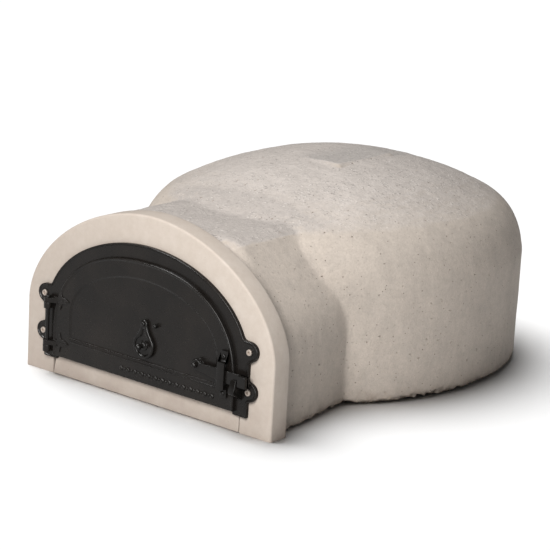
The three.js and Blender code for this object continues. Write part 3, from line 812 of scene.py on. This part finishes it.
def front_arch():
    """Sections across the ring, each an outline from the outer edge to the mouth and back."""
    solid = Solid()
    back_edge = [(distance, ARCH_DEPTH - drop) for distance, drop in rounding(5, 4)[::-1]]
    rows = [(inset(ARCH_LINE, distance, closed=False), depth)
            for distance, depth in [*back_edge, (0, 30), *rounding(ARCH_EDGE, 7)]]
    outer = rows[-1][0]
    mouth = [(inset(MOUTH_LINE, -distance, closed=False), depth)
             for distance, depth in [*rounding(ARCH_EDGE, 7)[::-1], (0, 30), (0, ARCH_DEPTH)]]
    inner = mouth[0][0]
    rows += [(outer * (1 - share) + inner * share, 0) for share in np.linspace(0, 1, 15)[1:-1]]
    rows += mouth
    back_inner, back_outer = mouth[-1][0], rows[0][0]
    rows += [(back_inner * (1 - share) + back_outer * share, ARCH_DEPTH) for share in (0.3, 0.7)]
    loops = []
    for line, depth in rows:
        line[[0, -1], 1] = 0
        loops.append(solid.loop(from_front(*line.T, depth)))
    solid.skin(loops + loops[:1], closed=False)
    for end in (0, -1):
        solid.cap([loop[end] for loop in loops])
    notch = cut_plate(box_line(-SILL_HALF - 0.3, SILL_HALF + 0.3, -20, FLOOR + 0.3), 80, -20)
    mesh = combined(solid.mesh("arch"), [("DIFFERENCE", notch)])
    waver(mesh, 0.35, 60, 8)
    piece(mesh, "front_arch", "root", sharp=50)


def waver(mesh, amount, size, seed):
    """Takes a little off a cast surface, unevenly, so that it isn't perfectly flat."""
    for vertex in mesh.vertices:
        place = Vector(vertex.co) / MM
        if place.z > 1:
            depth = (noise.noise(place / size + Vector((seed, seed, seed))) - 1) * 0.5 * amount
            vertex.co += Vector(vertex.normal) * depth * MM


def arch_sill():
    solid = Solid()
    right = SILL_HALF - SILL_JOINT
    corners = [(-SILL_HALF, 0), (right, 0), (right, FLOOR), (-SILL_HALF + SILL_WEDGE, FLOOR)]
    edges = []
    for (x0, z0), (x1, z1) in zip(corners, corners[1:] + corners[:1]):
        count = 60 if abs(x1 - x0) > 100 else 8
        edges += [(x0 + (x1 - x0) * i / count, z0 + (z1 - z0) * i / count) for i in range(count)]
    slab(solid, np.array(edges), ARCH_DEPTH, 0, 1.6)
    piece(solid, "arch_sill", "root")


def arch_mortar_bed():
    """A thin bed squeezed out unevenly between the arch and the neck."""
    solid = Solid()
    outer = []
    for depth, shrink in ((51.3, 4.5), (52.8, 3.4), (54.3, 4.2)):
        line = neck_section(NECK_FRONT, shrink)
        squeeze = np.array([noise.noise(Vector((x / 14, z / 14, depth))) for x, z in line])
        line = inset(turned_left(line), 0.8 - 0.8 * squeeze)
        outer.append(solid.loop(from_front(line[:, 0], np.maximum(line[:, 1], 0.2), depth)))
    solid.skin(outer)
    opening = turned_left(arch_line(236, 100, 290, 2.3, 0.2, steps=60))
    inner = wall(solid, opening, [(0, 51.3), (0, 54.3)])
    solid.cap(outer[0], inner[0])
    solid.cap(outer[-1], inner[-1])
    piece(solid, "arch_mortar_bed", "root")


# --- door frame

FRAME_HALF = 275
FRAME_SPRING = 150
FRAME_TOP = 333
FRAME_PLAN = 1.97
FOOT_HALF = 280
FOOT_INNER = 245
FOOT_LOW = 37
FOOT_TOP = 186
EAR_RADIUS = 20
EARS = {"upper": (283, 175), "lower": (284.5, 92)}
OPENING_LINE = arch_line(230, 100, 283, 2.3, FLOOR)
PIN = (-266, -16)
PIN_BORE = 4.35
KNUCKLES = ((146.5, 160.4), (51, 66.4))
KNUCKLE_RADIUS = 9
FRAME_BACK = -0.4
FRAME_FIELD = -6.4
FRAME_RIM = -8.6


def blended(first, second, reach):
    """The lesser of two distances, with a fillet where they're alike."""
    overlap = max(reach - abs(first - second), 0) / reach
    return min(first, second) - overlap * overlap * reach / 4


def frame_distance(x, z):
    """Distance outside the frame's outline, for the half with a positive x."""
    if z < FRAME_SPRING:
        arch = x - FRAME_HALF
    else:
        rise = FRAME_TOP - FRAME_SPRING
        share = ((max(x, 0) / FRAME_HALF) ** FRAME_PLAN + ((z - FRAME_SPRING) / rise) ** FRAME_PLAN)
        arch = (share ** (1 / FRAME_PLAN) - 1) * rise
    foot = max(x - FOOT_HALF, z - FOOT_TOP)
    ears = [math.hypot(x - ear[0], z - ear[1]) - EAR_RADIUS for ear in EARS.values()]
    legs = blended(blended(foot, ears[1], 5), ears[0], 5)
    return blended(arch, legs, 16)


def traced_half(start, step=1.6):
    """Walks along the frame's outline from its right foot to the top."""
    points = [np.array(start, float)]
    small = 0.05
    while points[-1][0] > step and len(points) < 900:
        place = points[-1].copy()
        for move in (step, 0, 0):
            here = frame_distance(*place)
            slope = np.array([
                (frame_distance(place[0] + small, place[1]) - here) / small,
                (frame_distance(place[0], place[1] + small) - here) / small,
            ])
            size = max(np.linalg.norm(slope), 1e-6)
            if move:
                place += move * np.array([-slope[1], slope[0]]) / size
            else:
                place -= slope * here / size**2
        points.append(place)
    points[-1][0] = 0
    return np.array(points)


def frame_outline():
    """The whole outline and which of its points carry the raised rim."""
    outer = mirrored(traced_half((FOOT_HALF, FOOT_LOW)))
    step = [(-FOOT_INNER, FOOT_LOW), (-FOOT_INNER, FLOOR)]
    inner = np.vstack([step, OPENING_LINE[::-1], [(-x, z) for x, z in step[::-1]]])
    line = np.vstack([outer, inner])
    carries_rim = np.arange(len(line)) < len(outer)
    return line, carries_rim


def door_frame():
    line, rim = frame_outline()
    rim_steps = [*rim_edge(FRAME_RIM, 2.0), (2.6, -8.5), (3.3, -8.1), (4.0, -7.4), (4.7, -6.7),
                 (5.5, FRAME_FIELD)]
    solid = Solid()
    loops = rimmed_wall(solid, line, rim, FRAME_BACK, FRAME_FIELD, rim_steps, 0.9)
    solid.cap_ends(loops)
    for side in (-1, 1):
        for x, z in EARS.values():
            boss = [(10.2, FRAME_FIELD + 1), (10.2, -6.6), (9.6, -7.0), (8.6, -7.1), (0.1, -7.1)]
            turned(solid, (side * x, z), boss)
    for low, high in KNUCKLES:
        barrel(solid, PIN, PIN_BORE, KNUCKLE_RADIUS, low, high)
        web = np.array([(-KNUCKLE_RADIUS + 0.2, PIN[1] + 5.2), (KNUCKLE_RADIUS - 0.2, PIN[1] + 5.2),
                        (KNUCKLE_RADIUS + 1.5, FRAME_FIELD + 1), (-KNUCKLE_RADIUS - 1.5, FRAME_FIELD + 1)])
        web[:, 0] += PIN[0]
        upright(solid, web, low, high, 0.7)
    piece(solid, "door_frame", "root")


def upright(solid, line, low, high, radius):
    """A plate drawn in x and y and given height."""
    slab(solid, line, low, high, radius, place=from_above)


# --- door leaf

LEAF = dict(half=251, spring=100, top=301, roundness=2.3, foot=45)
PANEL_LINE = turned_left(arch_line(203, 150, 263, 1.95, 92))
LEAF_BACK = -7
LEAF_FIELD = -13
LEAF_RIM = -15.4
PANEL_FRONT = -10.5
VENT = (9, 127)
VENT_RADIUS = 17
EYES = ((161, 171, 170), (67, 77, 77))
EYE_RADIUS = 8.8
BEAD_HALF = 201
BEAD = (83.5, 87)
BEAD_FRONT = -14.6
LEVER_PIVOT = (157, 123.4)
BAND_MIDDLE = 64
BAND_SPAN = (-52, 196)
BAND_COUNT = 27


def leaf_plate(solid):
    line = arch_line(**LEAF, steps=140)
    across = np.linspace(-LEAF["half"] + 6, LEAF["half"] - 6, 30)
    bottom = np.column_stack([across, np.full(len(across), float(LEAF["foot"]))])
    rim = np.arange(len(line) + len(bottom)) < len(line)
    line = np.vstack([line, bottom])
    rim_steps = [*rim_edge(LEAF_RIM, 2.6), (3.4, -15.3), (4.4, -14.9), (5.3, -14.2), (6.1, -13.5),
                 (7.2, LEAF_FIELD)]
    outer = rimmed_wall(solid, line, rim, LEAF_BACK, LEAF_FIELD, rim_steps, 1.0)

    panel = wall(solid, PANEL_LINE, [
        (-3.0, LEAF_FIELD), (-2.5, LEAF_FIELD), (-1.9, -12.9), (-1.2, -12.55), (0.0, -11.8), (1.2, -11.0),
        (2.0, -10.65), (2.6, PANEL_FRONT), (3.1, PANEL_FRONT)])
    vent = circle_line(*VENT, VENT_RADIUS)
    hole = wall(solid, vent, [
        (-1.5, PANEL_FRONT), (-1.0, PANEL_FRONT), (-0.3, -10.2), (0, -9.5), (0, LEAF_BACK)])
    solid.cap(outer[-1], panel[0])
    solid.cap(panel[-1], hole[0])
    solid.cap(outer[0], hole[-1])


def strap_outline(middle):
    """A spear head with two barbs that curl away from its tip."""
    half = [(-250, 5.2), (-238, 4.6)]
    half += [tuple(p) for p in curve_line((-238, 4.6), (-234, 8), (-236, 16), (-231, 21.5))]
    half += [tuple(p) for p in curve_line((-231, 21.5), (-227.5, 17), (-230.5, 10), (-224, 7.4))]
    half += [tuple(p) for p in curve_line((-224, 7.4), (-217, 7), (-211, 3), (-205, 0))]
    upper = [(x, middle + z) for x, z in half]
    lower = [(x, middle - z) for x, z in half[:-1]]
    return np.array(upper + lower[::-1])


def hinge_strap(solid, low, high, middle):
    barrel(solid, PIN, PIN_BORE, EYE_RADIUS, low, high)
    arm = np.array([(5.2, -7.2), (28, 0.6), (28, 5.5), (5.2, 7.6)]) + PIN
    upright(solid, arm, low, high, 0.8)
    slab(solid, strap_outline(middle), LEAF_FIELD + 1, LEAF_RIM, 1.1)
    ridge = np.array([(-236, middle - 1.2), (-212, middle - 0.7), (-209, middle), (-212, middle + 0.7),
                      (-236, middle + 1.2)])
    slab(solid, ridge, LEAF_RIM + 1, LEAF_RIM - 0.7, 0.5)


def bottom_band(solid):
    """A plain row of raised bosses, large and small in turn."""
    for i, x in enumerate(np.linspace(*BAND_SPAN, BAND_COUNT)):
        radius = 2.8 if i % 2 else 5.2
        profile = domed(radius, radius, LEAF_FIELD + 1, LEAF_FIELD, LEAF_FIELD - 1.3 - 0.45 * radius)
        turned(solid, (x, BAND_MIDDLE), profile, sides=28)


def door_leaf():
    solid = Solid()
    leaf_plate(solid)
    bead = box_line(-BEAD_HALF, BEAD_HALF, *BEAD)
    slab(solid, bead, LEAF_FIELD + 1, BEAD_FRONT, 1.3)
    boss = [(11.5, PANEL_FRONT + 0.5), (10.8, -10.9), (10.3, -11.6), (10.2, -16.2), (9.7, -16.7),
            (0.1, -16.7)]
    turned(solid, LEVER_PIVOT, boss)
    for low, high, middle in EYES:
        hinge_strap(solid, low, high, middle)
    bottom_band(solid)
    piece(solid, "door_leaf", "door")


# --- fittings

LEVER_BACK = -17
LEVER_FRONT = -23
GUIDE = (217, 236)
KEEPER = (254, 268)
COVER_PIVOT = (9, 173.4)
REST_PIN = (39, 174.8)
COVER_BACK = -11
COVER_DISH = -15
COVER_FRONT = -19


def hinge_pin():
    solid = Solid()
    dome = [(6.5 * math.cos(a), 172.4 + 2.6 * math.sin(a)) for a in np.linspace(0, 1.5, 7)]
    profile = [(3.2, 47), (3.9, 47.8), (3.9, 171.4), (6.2, 171.4), *dome, (0.1, 175)]
    turned(solid, PIN, profile, from_above)
    piece(solid, "hinge_pin", "root")


def latch_lever():
    solid = Solid()
    x, z = LEVER_PIVOT
    top = curve_line((x + 4, z + 9.5), (x + 7, z + 6), (x + 10, z + 5.4), (x + 16, z + 5.2))
    bottom = curve_line((235, 102.8), (215, 102.8), (x + 30, z - 13.4), (x + 3, z - 10.4))
    end = [(215, 129), (291.8, 129), (291.8, 102.8), (235, 102.8)]
    blade = np.vstack([[(x, z + 10.2), (x + 4, z + 9.5)], top, end, bottom])
    slab(solid, blade, LEVER_BACK, LEVER_FRONT, 0.9)
    eye = [(10.2, LEVER_BACK), (11, LEVER_BACK - 0.8), (11, LEVER_FRONT + 0.2), (10.4, LEVER_FRONT - 0.4),
           (9.6, LEVER_FRONT - 0.5), (0.1, LEVER_FRONT - 0.5)]
    turned(solid, LEVER_PIVOT, eye)
    slab(solid, box_line(272, 291.8, 105, 129), -14, -30, 1.3)
    piece(solid, "latch_lever", "latch")


def latch_guide():
    """Drawn from the side: two feet on the leaf and a bridge in front of the lever."""
    solid = Solid()
    outline = [(-13.3, 69.5), (-18.3, 69.5), (-18.3, 86.5), (-20.5, 88.7), (-29, 88.7), (-29, 145.6),
               (-20.5, 145.6), (-18.3, 148), (-18.3, 167.6), (-13.3, 167.6), (-13.3, 141.5), (-24, 141.5),
               (-24, 92.8), (-13.3, 92.8)]
    slab(solid, np.array(outline, float), GUIDE[0], GUIDE[1], 2.2, place=from_side)
    piece(solid, "latch_guide", "door")


def latch_keeper():
    """Drawn from the side: a post, the notch for the lever, and a hooked nose with a ramp."""
    solid = Solid()
    outline = [(-6.7, 72.4), (-6.7, 121), (-15.6, 118), (-15.6, 102.4), (-24.4, 102.4), (-24.4, 114.6),
               (-25.7, 116), (-27.4, 115.2), (-34.8, 92.4), (-34.6, 89.5), (-33.2, 87.2)]
    slab(solid, np.array(outline, float), KEEPER[0], KEEPER[1], 0.9, place=from_side)
    piece(solid, "latch_keeper", "root")


def rivets():
    guide_head = domed(3, 5, -7.3, -18.6, -21.6)
    washer_and_head = [*domed(4, 6.5, -7.3, -23.8, -25.6)[:4], *domed(4, 6, 0, -27, -33)[3:]]
    heads = {
        "guide_rivet_upper": ((226.5, 155.5), guide_head),
        "guide_rivet_lower": ((226.5, 79), guide_head),
        "lever_pivot_rivet": (LEVER_PIVOT, washer_and_head),
        "cover_pivot_rivet": (COVER_PIVOT, domed(3, 4.8, -7.3, -19.3, -22.6)),
        "cover_rest_pin": (REST_PIN, domed(4.5, 4.5, -7.3, -18, -21)),
    }
    for node, (centre, profile) in heads.items():
        solid = Solid()
        turned(solid, centre, profile, sides=36)
        piece(solid, node, "door")


def frame_screws():
    """Cap screws: a rounded head with a six sided socket."""
    seat = FRAME_FIELD - 0.7
    front = -11.3
    for side, hand in ((-1, "left"), (1, "right")):
        for level, (x, z) in EARS.items():
            solid = Solid()
            centre = (side * x, z)
            loops = wall(solid, circle_line(*centre, 6.6), [
                (3.7, 34), (3.7, seat), (0.3, seat), (0, seat - 0.4), (0, front + 1.6),
                *[(i, front + drop) for i, drop in rounding(1.5)], (1.8, front)])
            socket = circle_line(*centre, 3.1, sides=6)
            walls = wall(solid, socket, [(-0.35, front), (0, front + 0.35), (0, front + 2.6)])
            solid.cap(loops[0])
            solid.cap(loops[-1], walls[0])
            solid.cap(walls[-1])
            node = f"frame_screw_{level}_{hand}"
            piece(solid, node, "root")


def pear_line(radius, neck, top):
    """A pear around the vent, with its narrow end round a point above it."""
    spread = math.radians(14)
    belly = np.array([math.cos(spread), math.sin(spread)]) * radius + VENT
    arc = [(VENT[0] + radius * math.cos(a), VENT[1] + radius * math.sin(a))
           for a in np.linspace(math.pi - spread, 2 * math.pi + spread, 48)]
    x = VENT[0]
    right = curve_line(belly, (belly[0] - 5, belly[1] + 14), (x + neck + 2, top - 20), (x + neck, top), 16)
    cap = [(x + neck * math.cos(a), top + neck * math.sin(a)) for a in np.linspace(0, math.pi, 17)[1:]]
    left = (right * (-1, 1) + (2 * x, 0))[::-1][1:]
    return np.vstack([arc, right, cap, left])


def vent_cover():
    """A dished plate whose rim is a thick round bead."""
    solid = Solid()
    outer = pear_line(28.3, 8.5, COVER_PIVOT[1])
    dish = pear_line(20.6, 2.4, COVER_PIVOT[1] - 15)
    rows = [(inset(outer, 1.0), COVER_BACK), (inset(outer, 0.2), COVER_BACK - 0.8), (outer, -13.5)]
    for angle in np.linspace(0, math.pi, 13)[1:]:
        share = (1 - math.cos(angle)) / 2
        depth = COVER_DISH - 0.6 + (COVER_FRONT - COVER_DISH + 0.6) * math.sin(angle)
        rows.append((outer * (1 - share) + dish * share, depth))
    rows += [(inset(dish, 0.8), COVER_DISH - 0.1), (inset(dish, 1.6), COVER_DISH)]
    loops = [solid.loop(from_front(*line.T, y)) for line, y in rows]
    solid.skin(loops)
    solid.cap_ends(loops)
    piece(solid, "vent_cover", "vent")


def vent_cover_knob():
    solid = Solid()
    seat = COVER_DISH - 0.3
    centre = seat - 16
    flange = [(10.8, seat), (10.9, seat - 0.9), (10.3, seat - 1.7), (6.4, seat - 2.4), (4.6, seat - 4)]
    stem = [(3.6, COVER_BACK - 0.3), (3.6, seat), *flange, (3.8, seat - 9)]
    ball = [(7.4 * math.sin(a), centre - 7.4 * math.cos(a)) for a in np.linspace(math.radians(128), 0.02, 18)]
    turned(solid, VENT, [*stem, *ball], sides=44)
    piece(solid, "vent_cover_knob", "vent")


def carried_over():
    """Nodes that keep their CAD shape get their slot's finish."""
    for name, node in frame["nodes"].items():
        if SLOTS[name] in ("hearth_tile", "anchor_steel"):
            node.data.materials.clear()
            node.data.materials.append(FINISHES[SLOTS[name]])


# --- studio


FLOOR_HALF = 30000
FLOOR_HEIGHT = -0.3  # just under the hearth, so that no faces share a plane


def floor():
    solid = Solid()
    square = box_line(-FLOOR_HALF, FLOOR_HALF, -FLOOR_HALF, FLOOR_HALF)
    solid.cap(solid.loop(from_above(*square.T, FLOOR_HEIGHT)))
    ground = placed("floor", solid.mesh("floor", shift=0))
    n = Nodes("floor_white")
    n.set({"Base Color": rgb(0.93, 0.93, 0.93), "Roughness": 0.9, "Specular IOR Level": 0.0})
    ground.data.materials.append(n.material)


def direction(azimuth, elevation):
    """Towards a place seen at an azimuth from the door's side and an elevation, in degrees."""
    azimuth, elevation = math.radians(azimuth), math.radians(elevation)
    level = math.cos(elevation)
    return Vector((math.sin(azimuth) * level, -math.cos(azimuth) * level, math.sin(elevation)))


def receivers(name, shown):
    """A collection of the objects that a light may fall on."""
    made = bpy.data.collections.new(name)
    for item in shown:
        made.objects.link(item)
    return made


def light(name, kind, place, towards, lit, **settings):
    data = bpy.data.lights.new(name, kind)
    for key, value in settings.items():
        setattr(data, key, value)
    made = placed(name, data)
    made.location = place
    made.rotation_euler = towards.to_track_quat("Z", "Y").to_euler()
    made.light_linking.receiver_collection = lit


def sun(name, towards, lit, energy, spread):
    """A distant light with an angular size in degrees."""
    light(name, "SUN", Vector((0, 0, 3)), towards, lit, energy=energy, angle=math.radians(spread))


def lights():
    """A softbox at the front right and a light from above for the oven, and one for the floor alone.

    Two more fall on the iron alone, and give its edges their highlights.
    """
    floor_sheet = bpy.data.objects["floor"]
    oven = [shown for shown in bpy.context.scene.objects if shown.type == "MESH" and shown != floor_sheet]
    paints = (FINISHES["cast_iron"], FINISHES["black_fittings"])
    iron = [shown for shown in oven if shown.data.materials[0] in paints]
    on_oven = receivers("oven_light", oven)
    on_iron = receivers("iron_light", iron)
    key = direction(21, 34)
    light("softbox", "AREA", Vector((0, -0.5, 0.15)) + key * 2.6, key, on_oven, shape="DISK", size=1.3,
          energy=80, color=(1.0, 0.985, 0.965))
    sun("overhead", direction(-85, 71), on_oven, 2.0, 30)
    sun("floor_light", direction(-90, 68), receivers("floor_light", [floor_sheet]), 3.7, 46)
    sun("side_glint", direction(45, 10), on_iron, 5.5, 44)
    sun("top_glint", direction(-36, 42), on_iron, 3.0, 20)


def backdrop():
    """A weak even fill, and plain white where the camera sees past the floor."""
    world = bpy.data.worlds.new("studio")
    world.use_nodes = True
    tree = world.node_tree
    fill = tree.nodes["Background"]
    fill.inputs["Color"].default_value = rgb(1.0, 1.0, 1.0)
    fill.inputs["Strength"].default_value = 0.035
    white = tree.nodes.new("ShaderNodeBackground")
    white.inputs["Color"].default_value = rgb(1.0, 1.0, 1.0)
    path = tree.nodes.new("ShaderNodeLightPath")
    mixed = tree.nodes.new("ShaderNodeMixShader")
    tree.links.new(path.outputs["Is Camera Ray"], mixed.inputs[0])
    tree.links.new(fill.outputs[0], mixed.inputs[1])
    tree.links.new(white.outputs[0], mixed.inputs[2])
    tree.links.new(mixed.outputs[0], tree.nodes["World Output"].inputs["Surface"])
    bpy.context.scene.world = world


CAMERA_AZIMUTH = 38.349
CAMERA_ELEVATION = 15.129
CAMERA_ROLL = math.radians(3.202)
CAMERA_TARGET = (329.486, 342.314)  # on the plane of the arch's face, to the right and up
CAMERA_DISTANCE = 4224.39
CAMERA_LENS = 142.6


def camera():
    """A long lens from the front right, a little above, with a slight roll."""
    roll = CAMERA_ROLL
    target = Vector((CAMERA_TARGET[0], FACE, CAMERA_TARGET[1])) * MM
    back = direction(CAMERA_AZIMUTH, CAMERA_ELEVATION)
    level = (-back).cross(Vector((0, 0, 1))).normalized()
    raised = level.cross(-back)
    right = math.cos(roll) * level + math.sin(roll) * raised
    up = -math.sin(roll) * level + math.cos(roll) * raised
    data = bpy.data.cameras.new("camera")
    data.sensor_width = 36
    data.lens = CAMERA_LENS
    data.clip_end = 100
    shot = placed("camera", data)
    turn = Matrix((right, up, back)).transposed().to_4x4()
    shot.matrix_world = Matrix.Translation(target + CAMERA_DISTANCE * MM * back) @ turn
    bpy.context.scene.camera = shot


camera()
floor()
bpy.context.scene.view_settings.view_transform = "Standard"

carried_over()
dome_shell()
front_arch()
arch_sill()
arch_mortar_bed()
door_frame()
door_leaf()
hinge_pin()
latch_lever()
latch_guide()
latch_keeper()
rivets()
frame_screws()
vent_cover()
vent_cover_knob()
lights()
backdrop()
